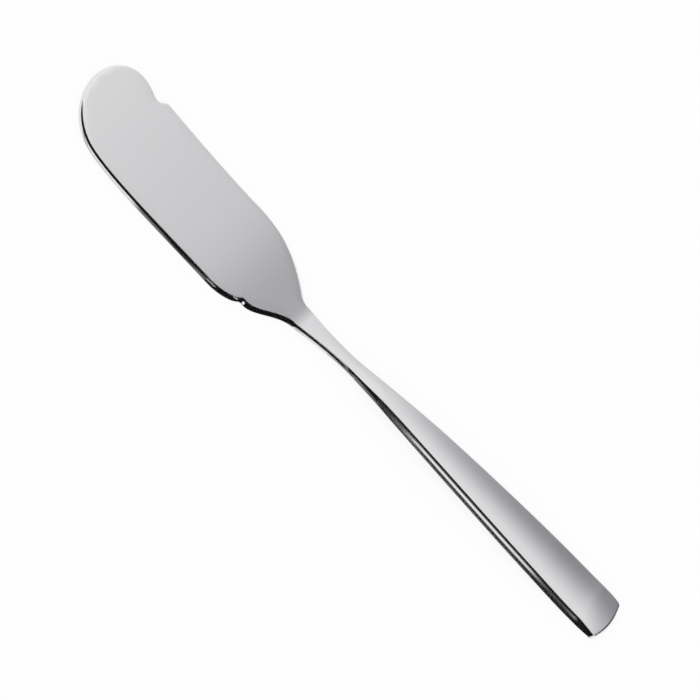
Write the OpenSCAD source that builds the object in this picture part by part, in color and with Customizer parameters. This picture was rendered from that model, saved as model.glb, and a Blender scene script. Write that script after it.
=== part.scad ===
// Butter knife of solid table flatware: a flat notched blade, a slim neck and an arched handle.
// Frame: +X runs from the tip of the blade to the end of the handle, +Y to the blade's back,
// +Z up from the table. The origin lies on the table, under the middle of the bounding box.

/* [Overall] */
// Length from the tip of the blade to the end of the handle
total_l = 170; // [155:1:190]

/* [Blade] */
// Length of the blade, from its tip to the neck
blade_l = 71; // [62:1:78]
// Width across the middle of the blade
blade_w = 23.6; // [20:0.2:27]
// Thickness of the blade
blade_t = 1.2; // [1:0.05:1.6]
// Width where the blade runs into the neck
root_w = 6.9; // [6:0.1:8]
// Length of the nick in the heel of the cutting edge
nick_l = 1.9; // [1.2:0.1:2.4]
// Width of the nick at its mouth
nick_w = 0.55; // [0.3:0.05:0.8]
// Depth of the nick below the upper face
nick_d = 0.55; // [0.3:0.05:0.8]

/* [Neck] */
// Length of the neck
neck_l = 26; // [22:1:30]
// Width of the neck at its waist
waist_w = 4.15; // [3.3:0.05:4.8]
// Distance from the blade to the waist
waist_x = 15; // [12:0.5:17]
// Thickness of the neck's rims at its waist
waist_t = 1.05; // [0.9:0.05:1.4]
// Depth of the neck's rounded underside below its rims, at the waist
waist_belly = 0.6; // [0.3:0.05:0.8]

/* [Handle] */
// Greatest width of the handle
handle_w = 12.75; // [11:0.05:15]
// Distance from the widest place to the end of the handle
wide_x = 7; // [5:0.5:9]
// Thickness of the handle at its rims
handle_t = 1.65; // [1.4:0.05:1.9]
// Rise of the handle's domed face above its rims
crown_h = 0.4; // [0.2:0.05:0.6]
// Depth of the handle's slightly rounded underside below its rims
handle_belly = 0.3; // [0.1:0.05:0.3]
// Height of the rims at the handle's widest place, above the table
wide_h = 1.95; // [1.95:0.05:2.4]
// Height of the rims at the crest of the arch, above the table
crest_h = 3.55; // [3:0.05:4.6]
// Distance from the blade to the crest of the arch
crest_x = 42; // [38:1:46]
// Distance from the blade to where the handle has its full thickness
full_x = 34; // [30:1:37]
// Thickness at the very end of the handle
end_t = 1; // [0.9:0.05:1.4]
// How far the middle of the end stands out past its corners
end_bow = 1; // [0.6:0.1:1.6]
// How much each side draws in from the widest place to the end
end_narrowing = 0.5; // [0.2:0.1:0.8]
// Radius of the corners of the end, seen from above
corner_r = 1.4; // [0.8:0.1:1.8]

/* [Hidden] */

steel = [0.78, 0.78, 0.8];

// Steps along each curve of the blade's outline, round an arc of a rim, and across the dome
curve_steps = 12;
rim_steps = 3;
dome_steps = 6;
// Distance between sections of the neck and the handle
section_step = 2.4;
// Sections round the nose of the handle's end
nose_steps = 5;

// Length by which a cut runs past the solid
overrun = 1;

blade_root_x = -total_l / 2 + blade_l;
neck_end_x = blade_root_x + neck_l;
handle_end_x = total_l / 2;
waist_at = blade_root_x + waist_x;
widest_at = handle_end_x - wide_x;
crest_at = blade_root_x + crest_x;
full_at = blade_root_x + full_x;

// The rim is a small arc at the shoulder, a wide arc that leans outwards, and a small round foot.
// The two radii are shares of the thickness. Angles are those of the surface's normal, from up.
shoulder_share = 0.12;
foot_share = 0.12;
// Lean just below the shoulder and just above the foot, on the flat parts and at the waist
flat_lean = [47, 60];
waist_lean = [52, 66];

// Round nose of the end: its thickness at the tip and its length as shares of the end's
// thickness, and how much of what it loses goes from the top
nose_share = 0.3;
nose_length_share = 0.8;
nose_top_share = 0.62;
nose_l = end_t * nose_length_share;

// Value of a smooth curve through stations [place, value] at place x. The curve has no
// slope at its first and last station.
function slope(s, i) =
    i == 0 || i == len(s) - 1 ? 0
    : (s[i + 1][1] - s[i - 1][1]) / (s[i + 1][0] - s[i - 1][0]);
function hermite(a, b, ma, mb, l, q) =
    a * (1 + 2 * q) * pow(1 - q, 2) + b * q * q * (3 - 2 * q)
    + ma * l * q * pow(1 - q, 2) - mb * l * q * q * (1 - q);
function span(s, x, i = 0) = i >= len(s) - 2 || x < s[i + 1][0] ? i : span(s, x, i + 1);
function along(s, x) =
    let (i = span(s, x), l = s[i + 1][0] - s[i][0], q = min(1, max(0, (x - s[i][0]) / l)))
    hermite(s[i][1], s[i + 1][1], slope(s, i), slope(s, i + 1), l, q);

// Half width of the neck and the handle. The neck narrows to the waist by a power curve, and
// the handle widens from there to its widest place.
narrowing_power = 1.8;
widening_shares = [[0, 0], [0.1, 0.12], [0.22, 0.33], [0.37, 0.55], [0.62, 0.81], [0.82, 0.95], [1, 1]];
function half_width(x) =
    x < waist_at
    ? waist_w / 2 + (root_w - waist_w) / 2
        * pow((waist_at - x) / (waist_at - blade_root_x), narrowing_power)
    : waist_w / 2 + (handle_w - waist_w) / 2
        * along(widening_shares, (x - waist_at) / (widest_at - waist_at));

// Height of the rims above the table: level at the blade, up to the crest, down again to the
// widest place, and on to the end, which rests on the table. The shares are of the run and of the
// rise or fall.
rise_shares = [[0, 0], [0.06, 0.025], [0.2, 0.17], [0.42, 0.46], [0.66, 0.85], [1, 1]];
fall_shares = [[0, 0], [0.34, 0.18], [0.7, 0.58], [1, 1]];
// Fall of the rims from the widest place to the end: its share of their height and its power
end_fall_share = 0.5;
end_fall_power = 1.5;
function rim_height(x) =
    x < crest_at
    ? blade_t + (crest_h - blade_t) * along(rise_shares, (x - blade_root_x) / crest_x)
    : x < widest_at
    ? crest_h - (crest_h - wide_h)
        * along(fall_shares, (x - crest_at) / (widest_at - crest_at))
    : wide_h - end_fall_share * wide_h * pow((x - widest_at) / wide_x, end_fall_power);

// Thickness at the rims: the blade's at the root, then the waist's, then the handle's
function thickness(x) =
    along([[blade_root_x, blade_t], [waist_at, waist_t], [full_at, handle_t],
           [widest_at, handle_t], [handle_end_x, end_t]], x);

// Rise of the domed face above the rims. The dome has one radius, so it rises with the square of
// the width, but it runs out at the blade and eases towards the end.
dome_shares = [0, 1, 1, 0.5];
function crown(x) =
    crown_h * pow(2 * half_width(x) / handle_w, 2)
    * along([[blade_root_x, dome_shares[0]], [waist_at, dome_shares[1]],
             [widest_at, dome_shares[2]], [handle_end_x, dome_shares[3]]], x);

// Depth of the rounded underside below the rims: none at the blade, deepest at the waist
function belly(x) =
    along([[blade_root_x, 0], [waist_at, waist_belly], [widest_at, handle_belly],
           [handle_end_x, 0]], x);

// Lean of the rim: steeper at the waist, and flatter on the blade and the handle
function lean(x, i) =
    along([[blade_root_x, flat_lean[i]], [blade_root_x + waist_x / 2, waist_lean[i]],
           [waist_at, waist_lean[i]], [full_at, flat_lean[i]], [handle_end_x, flat_lean[i]]], x);

// Outer side of a rim of thickness 1, from the foot up to the shoulder, as pairs [inset from
// the widest place, height]. lo and hi are the normal's angles at the shoulder and the foot, and
// under is the slope at which the foot runs into the underside.
function side_radius(lo, hi) =
    (1 - shoulder_share * (1 - cos(lo)) - foot_share * (1 + cos(hi))) / (cos(lo) - cos(hi));
function unit_rim(lo, hi, under) =
    let (r = side_radius(lo, hi), last = 180 - under,
         foot = [for (i = [0 : rim_steps + 1]) let (a = last - (last - hi) * i / (rim_steps + 1))
                 [foot_share * (1 - sin(a)), foot_share * (1 + cos(a))]],
         side_in = foot_share * (1 - sin(hi)) + r * sin(hi),
         side_up = foot_share * (1 + cos(hi)) - r * cos(hi),
         side = [for (i = [1 : rim_steps]) let (a = hi - (hi - lo) * i / rim_steps)
                 [side_in - r * sin(a), side_up + r * cos(a)]],
         top_in = side_in - r * sin(lo) + shoulder_share * sin(lo),
         shoulder = [for (i = [1 : rim_steps - 1]) let (a = lo - lo * i / (rim_steps - 1))
                     [top_in - shoulder_share * sin(a), 1 - shoulder_share * (1 - cos(a))]])
    concat(foot, side, shoulder);
function rim(t, lo, hi, under = 0) = [for (p = unit_rim(lo, hi, under)) p * t];

// Bezier curve through the first and last of four points, without its first point
function bezier(p, n) =
    [for (i = [1 : n]) let (q = i / n)
     p[0] * pow(1 - q, 3) + 3 * p[1] * q * pow(1 - q, 2) + 3 * p[2] * q * q * (1 - q) + p[3] * pow(q, 3)];

// Outline of the blade at its widest, from the root along the back, round the tip and back
// along the cutting edge. Each row is the two handles and the end of one curve, in shares of
// the blade's length from the root and of its width from the handle's axis.
outline_shares = [
    // Fillet from the neck, shoulder of the back, and the back up to the notch
    [[0.02, 0.155], [0.035, 0.205], [0.05, 0.24]],
    [[0.11, 0.375], [0.19, 0.55], [0.34, 0.56]],
    [[0.48, 0.57], [0.65, 0.62], [0.765, 0.655]],
    // Lip and wall of the notch near the tip
    [[0.775, 0.66], [0.785, 0.655], [0.79, 0.635]],
    [[0.795, 0.615], [0.795, 0.6], [0.805, 0.6]],
    // Lobe beyond the notch, nose and chin of the tip
    [[0.825, 0.6], [0.85, 0.68], [0.905, 0.68]],
    [[0.96, 0.68], [1, 0.545], [1, 0.32]],
    [[1, 0.09], [0.945, -0.21], [0.845, -0.32]],
    // Cutting edge, its round heel, and the edge behind the heel
    [[0.745, -0.43], [0.44, -0.43], [0.28, -0.455]],
    [[0.2, -0.465], [0.165, -0.385], [0.157, -0.345]],
    [[0.11, -0.4], [0.05, -0.17]],
];
function blade_point(s) = [blade_root_x - s[0] * blade_l, s[1] * blade_w];
root_back = [blade_root_x, root_w / 2];
root_edge = [blade_root_x, -root_w / 2];
function curve_start(i) = i == 0 ? root_back : blade_point(outline_shares[i - 1][2]);
function curve_end(i) = len(outline_shares[i]) == 3 ? blade_point(outline_shares[i][2]) : root_edge;
blade_outline = concat(
    [root_back],
    [for (i = [0 : len(outline_shares) - 1])
     each bezier([curve_start(i), blade_point(outline_shares[i][0]),
                  blade_point(outline_shares[i][1]), curve_end(i)], curve_steps)]);

// The bounding box across the knife, from the blade's outline, and half of its centre line
back_y = max([for (p = blade_outline) p[1]]);
edge_y = min([for (p = blade_outline) p[1]]);
middle_y = (back_y + edge_y) / 2;

// Direction into the blade at point i of its outline. At the root it is straight across, so that
// every ring ends in the root's plane.
function inward(o, i) =
    i == 0 ? [0, -1] : i == len(o) - 1 ? [0, 1]
    : let (d = (o[i + 1] - o[i - 1]) / norm(o[i + 1] - o[i - 1])) [-d[1], d[0]];

// A closed solid through rings of points, all of one length, with flat ends
module loft(rings) {
    n = len(rings[0]);
    last = len(rings) - 1;
    sides = [for (k = [0 : last - 1], i = [0 : n - 1]) let (j = (i + 1) % n)
             each [[k * n + i, k * n + j, (k + 1) * n + j], [k * n + i, (k + 1) * n + j, (k + 1) * n + i]]];
    foot = [[for (i = [n - 1 : -1 : 0]) i]];
    head = [[for (i = [0 : n - 1]) last * n + i]];
    polyhedron([for (r = rings) each r], concat(foot, sides, head));
}

// Section of the neck or the handle at x, as a ring that runs up the -Y side, over the dome,
// down the +Y side and back along the underside
function section(x, w, t, z, dome, depth, lo, hi, bow = 0) =
    let (side = rim(t, lo, hi, atan(2 * depth / (w - foot_share * t))),
         face = w - side[len(side) - 1][0], base = w - side[0][0],
         right = [for (p = side) [w - p[0], z + p[1]]],
         over = [for (i = [1 : dome_steps - 1]) let (y = face * (2 * i / dome_steps - 1))
                 [y, z + t + dome * (1 - pow(y / face, 2))]],
         below = [for (i = [1 : dome_steps - 1]) let (y = base * (1 - 2 * i / dome_steps))
                  [y, max(0, right[0][1] - depth * (1 - pow(y / base, 2)))]],
         half = len(right))
    [for (p = concat([for (q = right) [-q[0], q[1]]], over, [for (i = [half - 1 : -1 : 0]) right[i]],
                     below))
     [x - bow * pow(p[0] / w, 2), p[0], p[1]]];

function plain_section(x) =
    section(x, half_width(x), thickness(x), max(0, rim_height(x) - thickness(x)), crown(x),
            belly(x), lean(x, 0), lean(x, 1));

// Places of the sections between two ends, both included
function places(a, b) = let (n = ceil((b - a) / section_step)) [for (i = [0 : n]) a + (b - a) * i / n];

// Sections past the widest place, where the end bows out, its corners round off and its
// underside lifts off the table
function end_section(x, q) =
    let (t = thickness(x), c = max(0, (x - (handle_end_x - corner_r)) / corner_r),
         r = (x - widest_at) / wide_x,
         w = half_width(x) - end_narrowing * r * r - corner_r * (1 - sqrt(max(0, 1 - c * c))),
         h = t * (nose_share + (1 - nose_share) * sqrt(max(0, 1 - q * q))),
         z = rim_height(x) - t + (t - h) * (1 - nose_top_share))
    section(x, w, h, max(0, z), crown(x) * h / t, belly(x) * h / t, lean(x, 0), lean(x, 1),
            end_bow * r * r);

module blade_plate() {
    side = rim(blade_t, flat_lean[0], flat_lean[1]);
    loft([for (k = [len(side) - 1 : -1 : 0]) [for (i = [0 : len(blade_outline) - 1])
          let (q = blade_outline[i] + side[k][0] * inward(blade_outline, i)) [q[0], q[1], side[k][1]]]]);
}

// Nick where the cutting edge steps in behind the heel: a wedge that points to the tip, with its
// mouth just past the corner. Its places across the corner are in shares of its width.
nick_shares = [-0.75, -1.25, 0.25];
module nick() {
    corner = curve_start(len(outline_shares) - 1);
    mouth = nick_w * nick_shares[2];
    translate([corner[0], corner[1], blade_t - nick_d])
        linear_extrude(nick_d + overrun)
            polygon([[-nick_l, nick_w * nick_shares[0]], [mouth, nick_w * nick_shares[1]], [mouth, mouth]]);
}

module blade() color(steel) translate([0, -middle_y, 0])
    difference() {
        blade_plate();
        nick();
    }

module neck() color(steel) translate([0, -middle_y, 0])
    loft([for (x = places(blade_root_x, neck_end_x)) plain_section(x)]);

module handle() color(steel) translate([0, -middle_y, 0])
    loft(concat(
        [for (x = places(neck_end_x, widest_at)) plain_section(x)],
        [for (x = places(widest_at + section_step / 2, handle_end_x - corner_r - section_step / 2))
         end_section(x, 0)],
        [for (i = [0 : nose_steps]) let (q = sin(90 * i / nose_steps))
         end_section(handle_end_x - corner_r * (1 - q), max(0, 1 - (corner_r / nose_l) * (1 - q)))]));

blade();
neck();
handle();
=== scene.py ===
import math

import bmesh
import bpy
import numpy as np
from mathutils import Matrix, Vector
from mathutils.geometry import delaunay_2d_cdt


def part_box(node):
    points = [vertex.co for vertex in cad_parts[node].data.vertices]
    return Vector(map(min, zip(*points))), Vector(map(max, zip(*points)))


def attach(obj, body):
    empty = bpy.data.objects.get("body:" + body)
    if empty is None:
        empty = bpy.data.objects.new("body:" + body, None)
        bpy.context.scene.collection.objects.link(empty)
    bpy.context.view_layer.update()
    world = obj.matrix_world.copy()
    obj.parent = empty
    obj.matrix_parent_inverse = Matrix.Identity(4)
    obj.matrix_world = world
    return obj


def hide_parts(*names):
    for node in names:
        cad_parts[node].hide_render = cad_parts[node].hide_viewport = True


# A solid steel butter knife on a pale table. Lengths are in millimetres until a mesh is made.
# +X runs from the tip of the blade to the end of the handle, +Y to the blade's back, +Z up.
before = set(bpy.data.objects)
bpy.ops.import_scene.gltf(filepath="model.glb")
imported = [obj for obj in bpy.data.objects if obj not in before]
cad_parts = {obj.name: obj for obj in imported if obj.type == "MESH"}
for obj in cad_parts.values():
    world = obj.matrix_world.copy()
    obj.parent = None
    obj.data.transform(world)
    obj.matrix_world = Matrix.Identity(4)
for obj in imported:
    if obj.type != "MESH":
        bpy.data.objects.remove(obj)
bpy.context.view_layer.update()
MM = 0.001


def low(node, axis):
    """Lowest place of a CAD node along an axis, in millimetres."""
    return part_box(node)[0][axis] / MM


def high(node, axis):
    """Highest place of a CAD node along an axis, in millimetres."""
    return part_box(node)[1][axis] / MM


# Places along the knife and sizes, from the frame
ROOT_X = high("blade", 0)
NECK_END_X = high("neck", 0)
END_X = high("handle", 0)
BLADE_L = ROOT_X - low("blade", 0)
BLADE_T = high("blade", 2)
HANDLE_W = high("handle", 1) - low("handle", 1)
MIDDLE_Y = (high("handle", 1) + low("handle", 1)) / 2

# Sizes of the blade, as in the CAD model. The width drives the outline.
BLADE_W = 23.6
ROOT_W = 6.9
NICK_L = 1.9
NICK_W = 0.55
NICK_D = 0.55

# Sizes of the neck and the handle, as in the CAD model. A name in _FROM_ROOT is a distance from
# the blade's root. A belly is the depth of the rounded underside below the rims, and the crown
# the rise of the face above them. END_L runs from the widest place to the end, and END_H is the
# height of the rims at the widest place.
WAIST_FROM_ROOT = 15
WAIST_W = 4.15
WAIST_T = 1.05
WAIST_BELLY = 0.6
CREST_FROM_ROOT = 42
CREST_H = 3.55
FULL_FROM_ROOT = 34
HANDLE_T = 1.65
HANDLE_BELLY = 0.3
CROWN_H = 0.4
END_L = 7
END_H = 1.95
END_T = 1.0
END_BOW = 1.0
END_NARROWING = 0.5
CORNER_R = 1.4

WAIST_X = ROOT_X + WAIST_FROM_ROOT
CREST_X = ROOT_X + CREST_FROM_ROOT
FULL_X = ROOT_X + FULL_FROM_ROOT
WIDEST_X = END_X - END_L

# Shares and powers of the neck's and the handle's curves, as in the CAD model
NARROWING_POWER = 1.8
WIDENING_SHARES = ((0, 0), (0.1, 0.12), (0.22, 0.33), (0.37, 0.55), (0.62, 0.81), (0.82, 0.95), (1, 1))
RISE_SHARES = ((0, 0), (0.06, 0.025), (0.2, 0.17), (0.42, 0.46), (0.66, 0.85), (1, 1))
FALL_SHARES = ((0, 0), (0.34, 0.18), (0.7, 0.58), (1, 1))
END_FALL_SHARE = 0.5
END_FALL_POWER = 1.5
DOME_SHARES = (0, 1, 1, 0.5)
NOSE_LENGTH_SHARE = 0.8
NOSE_TIP_SHARE = 0.05
NOSE_TOP_SHARE = 0.62

# Radii of the rims' rounded shoulder and foot, in shares of the thickness
SHOULDER_SHARE = 0.12
FOOT_SHARE = 0.07

# Leans of the rims: the angles of the normal from up just below the shoulder, above and below
# the ridge in the side, and just above the foot. Only the blade has a ridge.
BLADE_LEANS = (47, 49.5, 55.5, 58)
HEEL_LEANS = (46, 48, 50, 53)
WAIST_LEANS = (54.5, 63, 63, 63)
NECK_LEANS = (51.5, 61, 61, 61)
HANDLE_LEANS = (47, 58, 58, 58)
HEEL_BLEND_L = 4
HEEL_END_TO_ROOT = 2
WAIST_LEAN_FROM_ROOT = 1.2
NECK_LEAN_FROM_ROOT = 19
HANDLE_LEAN_FROM_ROOT = 29

# Outline of the blade at its widest, as in the CAD model: the two handles and the end of each
# curve, in shares of the blade's length from the root and of its width from the handle's axis
HEEL_CORNER_SHARES = (0.157, -0.345)
OUTLINE_SHARES = (
    # Fillet from the neck, shoulder of the back, and the back up to the notch
    ((0.02, 0.155), (0.035, 0.205), (0.05, 0.24)),
    ((0.11, 0.375), (0.19, 0.55), (0.34, 0.56)),
    ((0.48, 0.57), (0.65, 0.62), (0.765, 0.655)),
    # Lip and wall of the notch near the tip
    ((0.775, 0.66), (0.785, 0.655), (0.79, 0.635)),
    ((0.795, 0.615), (0.795, 0.6), (0.805, 0.6)),
    # Lobe beyond the notch, nose and chin of the tip
    ((0.825, 0.6), (0.85, 0.68), (0.905, 0.68)),
    ((0.96, 0.68), (1, 0.545), (1, 0.32)),
    ((1, 0.09), (0.945, -0.21), (0.845, -0.32)),
    # Cutting edge, its round heel, and the edge behind the heel, which ends at the root
    ((0.745, -0.43), (0.44, -0.43), (0.28, -0.455)),
    ((0.2, -0.465), (0.165, -0.385), HEEL_CORNER_SHARES),
    ((0.11, -0.4), (0.05, -0.17)),
)

# Nick behind the heel: how far its mouth passes the corner, how far its two ends lie below the
# corner and half its width at the mouth, in shares of its width, half its width at the apex, the
# steepness of its walls, and the lengths over which its ends deepen
NICK_PAST_CORNER = 0.14
NICK_APEX_SHARE = 0.75
NICK_MOUTH_SHARE = 0.5
NICK_HALF_SHARE = 0.62
NICK_APEX_HALF = 0.06
NICK_WALL = 1.5
NICK_START_L = 0.2
NICK_STOP_L = 0.15

# Fineness of the meshes. The box of the nick's fine grid is measured from the heel's corner.
CURVE_STEPS = 200
OUTLINE_STEP = 0.22
OUTLINE_SUBSTEPS = 4
CORNER_BLEND = 0.33
BLEND_REACH = 3
SECTION_STEP = 0.5
NOSE_STEPS = 14
DOME_STEPS = 12
FOOT_STEPS = 8
ROUND_STEPS = 3
SIDE_STEPS = 7
SHOULDER_STEPS = 6
FACE_STEP = 1.5
FACE_GAP = 0.6
NICK_STEP = 0.07
NICK_GAP = 0.06
NICK_CLEARANCE = 0.3
NICK_BOX_X = (-2.6, 0.6)
NICK_BOX_Y = (-1.3, 0.8)
INSIDE_ONLY = 1
TOLERANCE = 1e-7

# Finish of the steel. The blade's face is ground. That finish fades out across the root and, on
# the rims, between two depths below the face. The face's slight hollow ends just past the root
# and is steepest a little before it.
POLISHED_TINTS = ((0.754, 0.756, 0.762, 1), (0.774, 0.775, 0.780, 1))
GROUND_TINTS = ((0.762, 0.764, 0.770, 1), (0.782, 0.783, 0.789, 1))
HANDLE_ROUGHNESS = 0.11
RIM_ROUGHNESS = 0.08
GROUND_ROUGHNESS = 0.32
GROUND_ANISOTROPY = 0.8
GROUND_PAST_ROOT = 3.0
GROUND_FADE = 4.4
GROUND_DEPTHS = (0.12, 0.02)
HOLLOW_L = 40
HOLLOW_PAST_ROOT = 2.6
HOLLOW_SLOPE = 0.18
HOLLOW_POWER = 6.0
HOLLOW_PEAK = 2.81
GRAIN_STRETCH = (0.12, 1.0, 1.0)
GRAIN_SCALE = 9000.0
CLOUD_SCALE = 120.0
NOISE_DETAIL = 3.0
NOISE_MIDDLE = 0.5
ROUGHNESS_SPREAD = 0.04
GRAIN_BUMP = 0.02
GRAIN_DEPTH = 0.00002

# Studio that the steel mirrors, by direction. Each patch has its soft edges over the top, in
# degrees from the far horizon, its soft edges along the knife, as the x of a direction of
# length 1, and its light. An edge runs from where the patch has no effect to where it has all.
SHADE = (((80, 42),), ((-0.23, 0.25),), -0.65)
DIP = (((62, 52),), ((-0.07, -0.12),), -0.12)
GLOW = (((120, 80),), ((-0.16, -0.36), (-0.80, -0.50)), 0.7)
TIP_SIDE = (((154, 134),), ((-0.06, -0.24),), 1.1)
END_SIDE = (((154, 134),), ((0.52, 0.70),), 0.9)
HANDLE_STRIP = (((157.5, 160.5), (166.5, 163.5)), ((-0.105, -0.055), (0.185, 0.12)), 1.2)
FAINT_STRIP = (((165, 169),), ((-0.06, -0.09), (-0.19, -0.17)), 0.2)
BLADE_STRIP = (((168, 170.5), (179.5, 176)), ((-0.175, -0.20),), 1.0)
OVERHEAD_LIGHT = 0.97
NEAR_LIGHT = 0.005
NEAR_EDGE = (76, 86)
HORIZON_EDGE = (42, 28)
HORIZON_X = (-0.30, 0.02)
HORIZON_LIGHT = (0.95, 0.10)
FAR_END_X = (0.50, 0.75)
FAR_END_LIGHT = (1.0, 0.3)
HANDLE_STRIP_BEND_X = (-0.05, -0.12)
HANDLE_STRIP_BEND = 9.0
FAINT_STRIP_BENDS_X = ((-0.07, -0.12), (-0.125, -0.145))
FAINT_STRIP_BENDS = (-9.0, 5.0)
DARK_TINT = (0.965, 0.94, 1.05, 1)
WHITE = (1, 1, 1, 1)

# Table, with its radius in metres
TABLE_RADIUS = 4.0
TABLE_SIDES = 96
TABLE_COLOUR = (0.95, 0.95, 0.95, 1)
TABLE_WHITE_SHARE = 0.8

# The photograph's view, from the knife's proportions in it. The clip distances are in metres.
VIEW_TURN = 1.18
VIEW_DOWN = 59.0
VIEW_ROLL = 45.9
VIEW_DISTANCE = 482
VIEW_TARGET = (-0.22, -0.27, 1.5)
LENS = 110.2
SENSOR = 36
CLIP_START = 0.01
CLIP_END = 100


def along(stations, x):
    """Smooth curve through stations (place, value), as in the CAD model."""
    px = np.array([s[0] for s in stations], float)
    py = np.array([s[1] for s in stations], float)
    slopes = np.zeros(len(px))
    slopes[1:-1] = (py[2:] - py[:-2]) / (px[2:] - px[:-2])
    i = np.clip(np.searchsorted(px, x, side="right") - 1, 0, len(px) - 2)
    run = px[i + 1] - px[i]
    q = np.clip((x - px[i]) / run, 0, 1)
    return float(
        py[i] * (1 + 2 * q) * (1 - q) ** 2
        + py[i + 1] * q * q * (3 - 2 * q)
        + slopes[i] * run * q * (1 - q) ** 2
        - slopes[i + 1] * run * q * q * (1 - q)
    )


def half_width(x):
    """Half the width of the neck or the handle at x."""
    if x < WAIST_X:
        share = ((WAIST_X - x) / WAIST_FROM_ROOT) ** NARROWING_POWER
        return WAIST_W / 2 + (ROOT_W - WAIST_W) / 2 * share
    share = along(WIDENING_SHARES, (x - WAIST_X) / (WIDEST_X - WAIST_X))
    return WAIST_W / 2 + (HANDLE_W - WAIST_W) / 2 * share


def rim_height(x):
    """Height of the upper face's rims above the table."""
    if x < CREST_X:
        return BLADE_T + (CREST_H - BLADE_T) * along(RISE_SHARES, (x - ROOT_X) / CREST_FROM_ROOT)
    if x < WIDEST_X:
        share = along(FALL_SHARES, (x - CREST_X) / (WIDEST_X - CREST_X))
        return CREST_H - (CREST_H - END_H) * share
    return END_H * (1 - END_FALL_SHARE * ((x - WIDEST_X) / END_L) ** END_FALL_POWER)


def thickness(x):
    """Thickness of the neck or the handle at its rims."""
    return along((
        (ROOT_X, BLADE_T), (WAIST_X, WAIST_T), (FULL_X, HANDLE_T), (WIDEST_X, HANDLE_T), (END_X, END_T),
    ), x)


def crown(x):
    """Rise of the domed face above its rims."""
    fade = along(tuple(zip((ROOT_X, WAIST_X, WIDEST_X, END_X), DOME_SHARES)), x)
    return CROWN_H * (2 * half_width(x) / HANDLE_W) ** 2 * fade


def belly(x):
    """Depth of the rounded underside below the rims."""
    return along(((ROOT_X, 0), (WAIST_X, WAIST_BELLY), (WIDEST_X, HANDLE_BELLY), (END_X, 0)), x)


def blade_point(shares):
    """A point of the blade's outline, with y from the handle's axis."""
    return np.array((ROOT_X - shares[0] * BLADE_L, shares[1] * BLADE_W))


def leans(x):
    """Leans of the rim at x, in the order of BLADE_LEANS."""
    heel = blade_point(HEEL_CORNER_SHARES)[0]
    stations = (
        (heel - HEEL_BLEND_L, BLADE_LEANS),
        (heel, HEEL_LEANS),
        (ROOT_X - HEEL_END_TO_ROOT, HEEL_LEANS),
        (ROOT_X, BLADE_LEANS),
        (ROOT_X + WAIST_LEAN_FROM_ROOT, WAIST_LEANS),
        (ROOT_X + NECK_LEAN_FROM_ROOT, NECK_LEANS),
        (ROOT_X + HANDLE_LEAN_FROM_ROOT, HANDLE_LEANS),
        (END_X, HANDLE_LEANS),
    )
    return [along([(place, row[k]) for place, row in stations], x) for k in range(len(BLADE_LEANS))]


def arc(centre, radius, first, last, steps):
    """Points (inset, height) round an arc of the rim, by the angle of its normal from up."""
    turns = [math.radians(angle) for angle in np.linspace(first, last, steps + 1)]
    return [(centre[0] - radius * math.sin(turn), centre[1] + radius * math.cos(turn)) for turn in turns]


def arc_on(start, radius, first, last, steps):
    """An arc that goes on from a point, without that point."""
    turn = math.radians(first)
    centre = (start[0] + radius * math.sin(turn), start[1] - radius * math.cos(turn))
    return arc(centre, radius, first, last, steps)[1:]


def rim(t, angles, under=0.0):
    """Rim of thickness t as points (inset, height): the upper part from the widest place up to
    the face, and the lower part from the widest place down to the underside, which it meets at
    the slope under. The angles are those of leans()."""
    top, above, below, bottom = angles
    cosines = [math.cos(math.radians(angle)) for angle in angles]
    fall = cosines[0] - cosines[1] + cosines[2] - cosines[3]
    side_r = (1 - SHOULDER_SHARE * (1 - cosines[0]) - FOOT_SHARE * (1 + cosines[3])) / fall
    foot = (FOOT_SHARE, FOOT_SHARE)
    upper = arc(foot, FOOT_SHARE, 90, bottom, ROUND_STEPS)
    upper += arc_on(upper[-1], side_r, bottom, below, SIDE_STEPS)
    upper += arc_on(upper[-1], side_r, above, top, SIDE_STEPS)
    upper += arc_on(upper[-1], SHOULDER_SHARE, top, 0, SHOULDER_STEPS)
    lower = arc(foot, FOOT_SHARE, 90, 180 - under, FOOT_STEPS)
    return np.array(upper) * t, np.array(lower) * t


def section(x, w, t, z, dome, bow=0.0, shrink=1.0):
    """Closed ring of a section w wide to each side: from the -Y side over the face to the +Y
    side, and back along the underside. shrink thins it for the nose of the handle's end."""
    depth = belly(x) * shrink
    under = math.degrees(math.atan(2 * depth / (w - FOOT_SHARE * t)))
    upper, lower = rim(t * shrink, leans(x), under)
    face = w - upper[-1][0]
    base = w - lower[-1][0]
    share = np.linspace(-1, 1, 2 * DOME_STEPS + 1)[1:-1]
    over = [(face * s, z + t * shrink + dome * shrink * (1 - s * s)) for s in share]
    top = [(-(w - i), z + h) for i, h in upper] + over + [(w - i, z + h) for i, h in upper[::-1]]
    spare = len(top) - 2 * len(lower)
    share = np.linspace(-1, 1, spare + 2)[1:-1]
    below = [(-(w - i), z + h) for i, h in lower[1:]]
    below += [(base * s, z + lower[-1][1] - depth * (1 - s * s)) for s in share]
    below += [(w - i, z + h) for i, h in lower[:0:-1]]
    ring = top + below[::-1]
    return np.array([(x - bow * (y / w) ** 2, y + MIDDLE_Y, max(0.0, h)) for y, h in ring])


def plain_section(x):
    """Section of the neck or the handle up to its widest place."""
    t = thickness(x)
    return section(x, half_width(x), t, max(0.0, rim_height(x) - t), crown(x))


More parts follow.
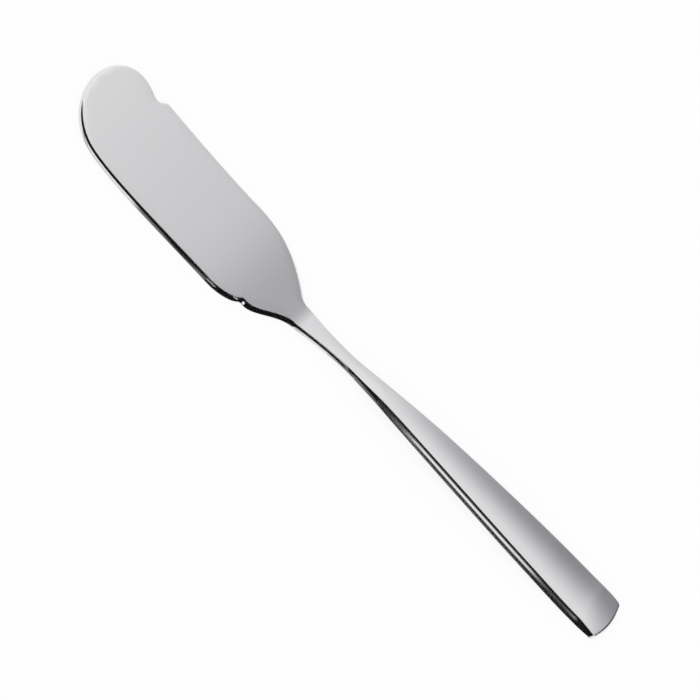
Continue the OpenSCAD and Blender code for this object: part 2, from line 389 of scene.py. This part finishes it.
def end_section(x, nose):
    """Section past the widest place, where the end bows out, its corners round off and its
    underside lifts off the table. nose runs from 0 to 1 round the nose."""
    t = thickness(x)
    run = (x - WIDEST_X) / END_L
    c = max(0.0, (x - (END_X - CORNER_R)) / CORNER_R)
    w = half_width(x) - END_NARROWING * run * run - CORNER_R * (1 - math.sqrt(max(0.0, 1 - c * c)))
    shrink = NOSE_TIP_SHARE + (1 - NOSE_TIP_SHARE) * math.sqrt(max(0.0, 1 - nose * nose))
    z = rim_height(x) - t + t * (1 - shrink) * (1 - NOSE_TOP_SHARE)
    return section(x, w, t, max(0.0, z), crown(x), END_BOW * run * run, shrink)


def places(a, b):
    """Places of the sections between two ends, both included."""
    return np.linspace(a, b, math.ceil((b - a) / SECTION_STEP) + 1)


def make_piece(name, points, faces, caps=(), ridge=()):
    """A smooth mesh in millimetres as a piece in metres. caps are the faces of a cut end, whose
    rim is sharp so that it doesn't bend the shading of the surface that runs on. Edges between
    the points of a ridge are sharp too."""
    mesh = bpy.data.meshes.new(name)
    corners = [tuple(map(int, face)) for face in faces + list(caps)]
    mesh.from_pydata([tuple(point * MM) for point in points], [], corners)
    mesh.validate()
    grid = bmesh.new()
    grid.from_mesh(mesh)
    bmesh.ops.recalc_face_normals(grid, faces=grid.faces)
    for face in grid.faces:
        face.smooth = True
    grid.faces.ensure_lookup_table()
    for face in grid.faces[len(faces):]:
        for edge in face.edges:
            edge.smooth = edge.smooth and all(f.index >= len(faces) for f in edge.link_faces)
    for edge in grid.edges:
        if edge.verts[0].index in ridge and edge.verts[1].index in ridge:
            edge.smooth = False
    grid.to_mesh(mesh)
    grid.free()
    piece = bpy.data.objects.new(name, mesh)
    bpy.context.scene.collection.objects.link(piece)
    return piece


def loft(name, rings, cut_ends):
    """A piece through rings of points. Each cut end is one flat cap. The other end is the nose,
    which quads across the last ring close."""
    count = len(rings[0])
    faces = []
    for k in range(len(rings) - 1):
        for i in range(count):
            j = (i + 1) % count
            faces.append((k * count + i, k * count + j, (k + 1) * count + j, (k + 1) * count + i))
    first = list(range(count))
    last = [(len(rings) - 1) * count + i for i in first]
    caps = [first] + ([last] if cut_ends == 2 else [])
    if cut_ends == 1:
        for i in range(count // 2 - 1):
            faces.append((last[i], last[i + 1], last[count - 2 - i], last[count - 1 - i]))
    return make_piece(name, np.concatenate(rings), faces, caps)


def bezier(points, steps):
    """Points of a curve by its start, two handles and end, without the start."""
    q = np.linspace(0, 1, steps + 1)[1:, None]
    a, b, c, d = [np.array(point, float) for point in points]
    return a * (1 - q) ** 3 + 3 * b * q * (1 - q) ** 2 + 3 * c * q * q * (1 - q) + d * q**3


def blade_curve():
    """The blade's outline at its widest, finely stepped, from the back's root round the tip."""
    start = np.array((ROOT_X, ROOT_W / 2))
    end = np.array((ROOT_X, -ROOT_W / 2))
    curve = [start[None]]
    for first, second, *last in OUTLINE_SHARES:
        stop = blade_point(last[0]) if last else end
        curve.append(bezier((start, blade_point(first), blade_point(second), stop), CURVE_STEPS))
        start = stop
    return np.concatenate(curve)


def blade_outline():
    """The blade's outline in even steps, with its corners slightly blended."""
    curve = blade_curve()
    length = np.concatenate(([0], np.cumsum(np.linalg.norm(np.diff(curve, axis=0), axis=1))))
    steps = OUTLINE_SUBSTEPS * math.ceil(length[-1] / OUTLINE_STEP)
    fine = np.linspace(0, length[-1], steps + 1)
    even = np.stack([np.interp(fine, length, curve[:, k]) for k in (0, 1)], 1)
    reach = math.ceil(BLEND_REACH * CORNER_BLEND / (fine[1] - fine[0]))
    offsets = np.arange(-reach, reach + 1) * (fine[1] - fine[0])
    weights = np.exp(-0.5 * (offsets / CORNER_BLEND) ** 2)
    weights /= weights.sum()
    before = 2 * even[0] - even[reach:0:-1]
    after = 2 * even[-1] - even[-2:-reach - 2:-1]
    padded = np.concatenate((before, even, after))
    blended = np.stack([np.convolve(padded[:, k], weights, "valid") for k in (0, 1)], 1)
    blended[0] = even[0]
    blended[-1] = even[-1]
    return blended[::OUTLINE_SUBSTEPS]


def inward(outline):
    """Directions into the blade. At the root they run straight across."""
    run = np.empty_like(outline)
    run[1:-1] = outline[2:] - outline[:-2]
    run[0] = (-1, 0)
    run[-1] = (1, 0)
    run /= np.linalg.norm(run, axis=1)[:, None]
    return np.stack((-run[:, 1], run[:, 0]), 1)


def blade_rings(outline):
    """Rings of points from the underside's border up the rim to the face's border."""
    into = inward(outline)
    rims = [rim(BLADE_T, leans(x)) for x in outline[:, 0]]
    levels = np.stack([np.concatenate((lower[:0:-1], upper)) for upper, lower in rims], 1)
    return [np.column_stack((outline + level[:, :1] * into, level[:, 1])) for level in levels]


def nick_depth(points):
    """Depth of the nick below the face at points (x, y), from the handle's axis."""
    corner = blade_point(HEEL_CORNER_SHARES)
    apex = corner + (-NICK_L, -NICK_APEX_SHARE * NICK_W)
    mouth = corner + (NICK_PAST_CORNER, -NICK_MOUTH_SHARE * NICK_W)
    length = np.linalg.norm(mouth - apex)
    line = (mouth - apex) / length
    run = (points - apex) @ line
    across = np.abs((points - apex) @ np.array((-line[1], line[0])))
    share = np.clip(run / length, 0, 1)
    half = NICK_APEX_HALF + (NICK_W * NICK_HALF_SHARE - NICK_APEX_HALF) * share
    walls = np.clip(NICK_WALL - NICK_WALL * across / half, 0, 1)
    start = np.clip(run / NICK_START_L, 0, 1)
    stop = np.clip((length + NICK_STOP_L - run) / NICK_STOP_L, 0, 1)
    return NICK_D * walls * start * stop


def distance(points, others):
    """Distance from each point to the nearest of the others."""
    return np.linalg.norm(points[:, None] - others[None], axis=2).min(1)


def inside(points, border, gap):
    """The points inside a closed border, no nearer than gap to it."""
    a = border
    b = np.roll(border, -1, axis=0)
    crossing = (a[:, 1] > points[:, None, 1]) != (b[:, 1] > points[:, None, 1])
    rise = np.where(b[:, 1] == a[:, 1], 1, b[:, 1] - a[:, 1])
    cut = a[:, 0] + (points[:, None, 1] - a[:, 1]) * (b[:, 0] - a[:, 0]) / rise
    within = (crossing & (points[:, None, 0] < cut)).sum(1) % 2 == 1
    return points[within & (distance(points, border) > gap)]


def triangle_grid(border, step):
    """Points of a triangle grid over the box of a border."""
    lo = border.min(0)
    hi = border.max(0)
    rows = np.arange(lo[1], hi[1], step * math.sqrt(3) / 2)
    columns = np.arange(lo[0], hi[0], step)
    return np.array([(x + (k % 2) * step / 2, y) for k, y in enumerate(rows) for x in columns])


def nick_grid():
    """Points of a fine square grid round the nick."""
    columns = np.arange(*NICK_BOX_X, NICK_STEP)
    rows = np.arange(*NICK_BOX_Y, NICK_STEP)
    return blade_point(HEEL_CORNER_SHARES) + np.array([(x, y) for x in columns for y in rows])


def face_points(border, nicked):
    """Points inside a face of the blade, finer round the nick."""
    coarse = inside(triangle_grid(border, FACE_STEP), border, FACE_GAP)
    if not nicked:
        return coarse
    fine = nick_grid()
    coarse = coarse[distance(coarse, fine) > NICK_CLEARANCE]
    return np.concatenate((coarse, inside(fine, border, NICK_GAP)))


def fill(border, extra):
    """Triangles inside a closed border, with extra points."""
    flat = [Vector(point) for point in np.concatenate((border, extra))]
    points, _, triangles = delaunay_2d_cdt(
        flat, [], [list(range(len(border)))], INSIDE_ONLY, TOLERANCE)[:3]
    return np.array([tuple(point) for point in points]), triangles


def blade():
    """The blade as rings up its rim, with two faces and the nick pressed into the upper one."""
    outline = blade_outline()
    rings = blade_rings(outline)
    count = len(outline)
    levels = range(len(rings))
    points = list(np.concatenate(rings))
    faces = []
    for k in levels[:-1]:
        for i in range(count - 1):
            faces.append((k * count + i, k * count + i + 1, (k + 1) * count + i + 1, (k + 1) * count + i))
    for k in (levels[0], levels[-1]):
        border = rings[k][:, :2]
        height = rings[k][0][2]
        flat, triangles = fill(border, face_points(border, k == levels[-1]))
        shift = len(points) - count
        points += [np.array((x, y, height)) for x, y in flat[count:]]
        for triangle in triangles:
            faces.append([k * count + i if i < count else shift + i for i in triangle])
    points = np.array(points)
    points[:, 2] = np.minimum(points[:, 2], BLADE_T - nick_depth(points[:, :2]))
    points[:, 1] += MIDDLE_Y
    cap = [k * count for k in levels] + [(k + 1) * count - 1 for k in reversed(levels)]
    first = (FOOT_STEPS + ROUND_STEPS + SIDE_STEPS) * count
    piece = make_piece("blade_steel", points, faces, [cap], range(first, first + count))
    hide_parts("blade")
    return piece


def neck():
    """The neck, cut flat where it meets the blade and the handle."""
    piece = loft("neck_steel", [plain_section(x) for x in places(ROOT_X, NECK_END_X)], 2)
    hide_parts("neck")
    return piece


def handle():
    """The handle, cut flat where it meets the neck, with a rounded nose."""
    rings = [plain_section(x) for x in places(NECK_END_X, WIDEST_X)]
    rings += [end_section(x, 0) for x in places(WIDEST_X, END_X - CORNER_R)[1:-1]]
    nose_l = END_T * NOSE_LENGTH_SHARE
    for k in range(NOSE_STEPS + 1):
        left = 1 - math.sin(math.pi / 2 * k / NOSE_STEPS)
        rings.append(end_section(END_X - CORNER_R * left, max(0.0, 1 - CORNER_R / nose_l * left)))
    piece = loft("handle_steel", rings, 1)
    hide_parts("handle")
    return piece


class Graph:
    """A few words for building node trees."""

    def __init__(self, owner):
        owner.use_nodes = True
        self.tree = owner.node_tree
        self.tree.nodes.clear()

    def node(self, kind, inputs=None, **settings):
        """A node with its settings and inputs."""
        made = self.tree.nodes.new(kind)
        for key, value in settings.items():
            setattr(made, key, value)
        for key, value in (inputs or {}).items():
            self.put(made.inputs[key], value)
        return made

    def put(self, socket, value):
        """Link or set a socket."""
        if isinstance(value, bpy.types.NodeSocket):
            self.tree.links.new(value, socket)
        else:
            socket.default_value = value

    def math(self, operation, *values, clamp=False):
        made = self.node("ShaderNodeMath", operation=operation, use_clamp=clamp)
        for socket, value in zip(made.inputs, values):
            self.put(socket, value)
        return made.outputs[0]

    def smooth(self, value, edge, ends=(0.0, 1.0)):
        """Smooth step of a value from one end to the other between an edge's two places."""
        made = self.node("ShaderNodeMapRange", interpolation_type="SMOOTHSTEP")
        for socket, number in zip(made.inputs, (value, *edge, *ends)):
            self.put(socket, number)
        return made.outputs[0]

    def blend(self, a, b, share):
        """a where share is 0, b where it is 1."""
        return self.total(a, self.product(self.math("SUBTRACT", b, a), share))

    def total(self, *values):
        result = values[0]
        for value in values[1:]:
            result = self.math("ADD", result, value)
        return result

    def product(self, *values):
        result = values[0]
        for value in values[1:]:
            result = self.math("MULTIPLY", result, value)
        return result

    def patch(self, rise, x, kind):
        """A soft-edged patch of the studio."""
        over, beside, light = kind
        edges = [self.smooth(rise, edge) for edge in over] + [self.smooth(x, edge) for edge in beside]
        return self.product(*edges, light)


def noise(g, place, scale):
    """Fine noise around 0.5 at a place."""
    settings = {"Vector": place, "Scale": scale, "Detail": NOISE_DETAIL}
    return g.node("ShaderNodeTexNoise", settings).outputs[0]


def steel(g, tints, roughness, relief=None):
    """Shared base of the two finishes: a faintly clouded tint, fine grain and a roughness."""
    place = g.node("ShaderNodeTexCoord").outputs["Object"]
    stretched = g.node("ShaderNodeMapping", {"Vector": place, "Scale": GRAIN_STRETCH}).outputs[0]
    grain = noise(g, stretched, GRAIN_SCALE)
    cloud = noise(g, place, CLOUD_SCALE)
    rough = g.total(
        g.product(g.math("SUBTRACT", grain, NOISE_MIDDLE), ROUGHNESS_SPREAD),
        g.product(g.math("SUBTRACT", cloud, NOISE_MIDDLE), ROUGHNESS_SPREAD),
        roughness,
    )
    bump = g.node("ShaderNodeBump", {"Height": grain, "Strength": GRAIN_BUMP, "Distance": GRAIN_DEPTH})
    if relief is not None:
        g.put(bump.inputs["Normal"], relief)
    tint = g.node("ShaderNodeMix", data_type="RGBA")
    g.put(tint.inputs["Factor"], cloud)
    g.put(tint.inputs["A"], tints[0])
    g.put(tint.inputs["B"], tints[1])
    shader = g.node("ShaderNodeBsdfPrincipled", {
        "Base Color": tint.outputs["Result"],
        "Metallic": 1.0,
        "Roughness": rough,
        "Normal": bump.outputs[0],
    })
    g.node("ShaderNodeOutputMaterial", {"Surface": shader.outputs[0]})
    return shader


def polished_steel():
    """The handle's finish."""
    material = bpy.data.materials.new("polished_steel")
    steel(Graph(material), POLISHED_TINTS, HANDLE_ROUGHNESS)
    return material


def ground_steel():
    """The finish of blade and neck: ground lengthwise on the blade's face, and polished round
    its rims and along the neck. The face has a slight hollow that runs into the neck."""
    material = bpy.data.materials.new("ground_steel")
    g = Graph(material)
    place = g.node("ShaderNodeTexCoord").outputs["Object"]
    x, y, z = g.node("ShaderNodeSeparateXYZ", {0: place}).outputs
    fade_start = ROOT_X + GROUND_PAST_ROOT
    ground = g.product(
        g.smooth(x, (fade_start * MM, (fade_start - GROUND_FADE) * MM)),
        g.smooth(z, [(BLADE_T - depth) * MM for depth in GROUND_DEPTHS]),
    )
    rough = g.total(g.product(ground, GROUND_ROUGHNESS - RIM_ROUGHNESS), RIM_ROUGHNESS)
    shader = steel(g, GROUND_TINTS, rough, hollow(g, x))
    shader.inputs["Anisotropic"].default_value = GROUND_ANISOTROPY
    g.put(shader.inputs["Tangent"], g.node("ShaderNodeCombineXYZ", {"Y": 1.0}).outputs[0])
    return material


def hollow(g, x):
    """Normals of the slight hollow. Its slope grows with a power of the distance, and
    HOLLOW_PEAK is the steepest slope of the curve that does this in a unit square."""
    start = (ROOT_X - HOLLOW_L) * MM
    run = (HOLLOW_L + HOLLOW_PAST_ROOT) * MM
    share = g.math("DIVIDE", g.math("SUBTRACT", x, start), run, clamp=True)
    ease = g.math("SUBTRACT", HOLLOW_POWER + 1, g.product(share, HOLLOW_POWER))
    depth = g.product(g.math("POWER", share, HOLLOW_POWER), ease, -HOLLOW_SLOPE * run / HOLLOW_PEAK)
    return g.node("ShaderNodeBump", {"Height": depth, "Strength": 1.0, "Distance": 1.0}).outputs[0]


def studio():
    """Surroundings by direction. Metal mirrors a wide softbox overhead that fades towards the
    far side and the handle's end, and a dark near side with narrow bright strips low down, which
    the rims pick up. All else is lit by, and seen against, a plain white. rise is the angle from
    the far horizon over the top, in degrees."""
    world = bpy.data.worlds.new("studio")
    bpy.context.scene.world = world
    g = Graph(world)
    direction = g.node("ShaderNodeTexCoord").outputs["Generated"]
    x, y, z = g.node("ShaderNodeSeparateXYZ", {0: direction}).outputs
    rise = g.product(g.math("ARCTAN2", z, y), math.degrees(1))
    overhead = g.total(*[g.patch(rise, x, kind) for kind in (SHADE, DIP, GLOW)], OVERHEAD_LIGHT)
    horizon = g.smooth(x, HORIZON_X, HORIZON_LIGHT)
    far = g.blend(overhead, horizon, g.smooth(rise, HORIZON_EDGE))
    far = g.product(far, g.smooth(x, FAR_END_X, FAR_END_LIGHT))
    near = g.total(*[g.patch(rise, x, kind) for kind in (TIP_SIDE, END_SIDE)], NEAR_LIGHT)
    wide = g.blend(far, near, g.smooth(rise, NEAR_EDGE))
    bent = g.math("SUBTRACT", rise, g.smooth(x, HANDLE_STRIP_BEND_X, (0.0, HANDLE_STRIP_BEND)))
    bends = [g.smooth(x, edge, (0.0, by)) for edge, by in zip(FAINT_STRIP_BENDS_X, FAINT_STRIP_BENDS)]
    light = g.total(
        wide,
        g.patch(bent, x, HANDLE_STRIP),
        g.patch(rise, x, BLADE_STRIP),
        g.patch(g.total(*bends, rise), x, FAINT_STRIP),
    )
    mirrored = g.node("ShaderNodeLightPath").outputs["Is Glossy Ray"]
    strength = g.blend(1.0, light, mirrored)
    colour = g.node("ShaderNodeMix", data_type="RGBA")
    g.put(colour.inputs["Factor"], strength)
    g.put(colour.inputs["A"], DARK_TINT)
    g.put(colour.inputs["B"], WHITE)
    settings = {"Color": colour.outputs["Result"], "Strength": strength}
    background = g.node("ShaderNodeBackground", settings)
    g.node("ShaderNodeOutputWorld", {"Surface": background.outputs[0]})


def pale_table():
    """Diffuse, so that it keeps the knife's shadow, and partly plain white to the rays that see
    the background."""
    material = bpy.data.materials.new("pale_table")
    g = Graph(material)
    cloth = g.node("ShaderNodeBsdfDiffuse", {"Color": TABLE_COLOUR}).outputs[0]
    white = g.node("ShaderNodeEmission", {"Color": WHITE, "Strength": 1.0}).outputs[0]
    path = g.node("ShaderNodeLightPath").outputs
    seen = g.total(path["Is Camera Ray"], path["Is Glossy Ray"], path["Is Transmission Ray"])
    share = g.product(seen, TABLE_WHITE_SHARE)
    mixed = g.node("ShaderNodeMixShader", {0: share, 1: cloth, 2: white}).outputs[0]
    g.node("ShaderNodeOutputMaterial", {"Surface": mixed})
    return material


def floor():
    """A table that reaches past the view."""
    mesh = bpy.data.meshes.new("table")
    disc = bmesh.new()
    bmesh.ops.create_circle(disc, cap_ends=True, segments=TABLE_SIDES, radius=TABLE_RADIUS)
    disc.to_mesh(mesh)
    disc.free()
    table = bpy.data.objects.new("table", mesh)
    bpy.context.scene.collection.objects.link(table)
    mesh.materials.append(pale_table())


def camera():
    """The photograph's view. ahead is the view's direction and right its level side."""
    data = bpy.data.cameras.new("view")
    data.lens = LENS
    data.sensor_width = SENSOR
    data.clip_start = CLIP_START
    data.clip_end = CLIP_END
    cam = bpy.data.objects.new("view", data)
    bpy.context.scene.collection.objects.link(cam)
    down = math.radians(VIEW_DOWN)
    turn = Matrix.Rotation(math.radians(-VIEW_TURN), 3, "Z")
    ahead = turn @ Vector((0, math.cos(down), -math.sin(down)))
    right = turn @ Vector((1, 0, 0))
    level = Matrix((right, -ahead.cross(right), -ahead)).transposed()
    roll = Matrix.Rotation(math.radians(VIEW_ROLL), 3, "Z")
    place = (Vector(VIEW_TARGET) - ahead * VIEW_DISTANCE) * MM
    cam.matrix_world = Matrix.Translation(place) @ (level @ roll).to_4x4()
    bpy.context.scene.camera = cam


camera()
ground = ground_steel()
for make, metal in ((blade, ground), (neck, ground), (handle, polished_steel())):
    made = make()
    made.data.materials.append(metal)
    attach(made, "root")
floor()
studio()
bpy.context.scene.view_settings.view_transform = "Standard"
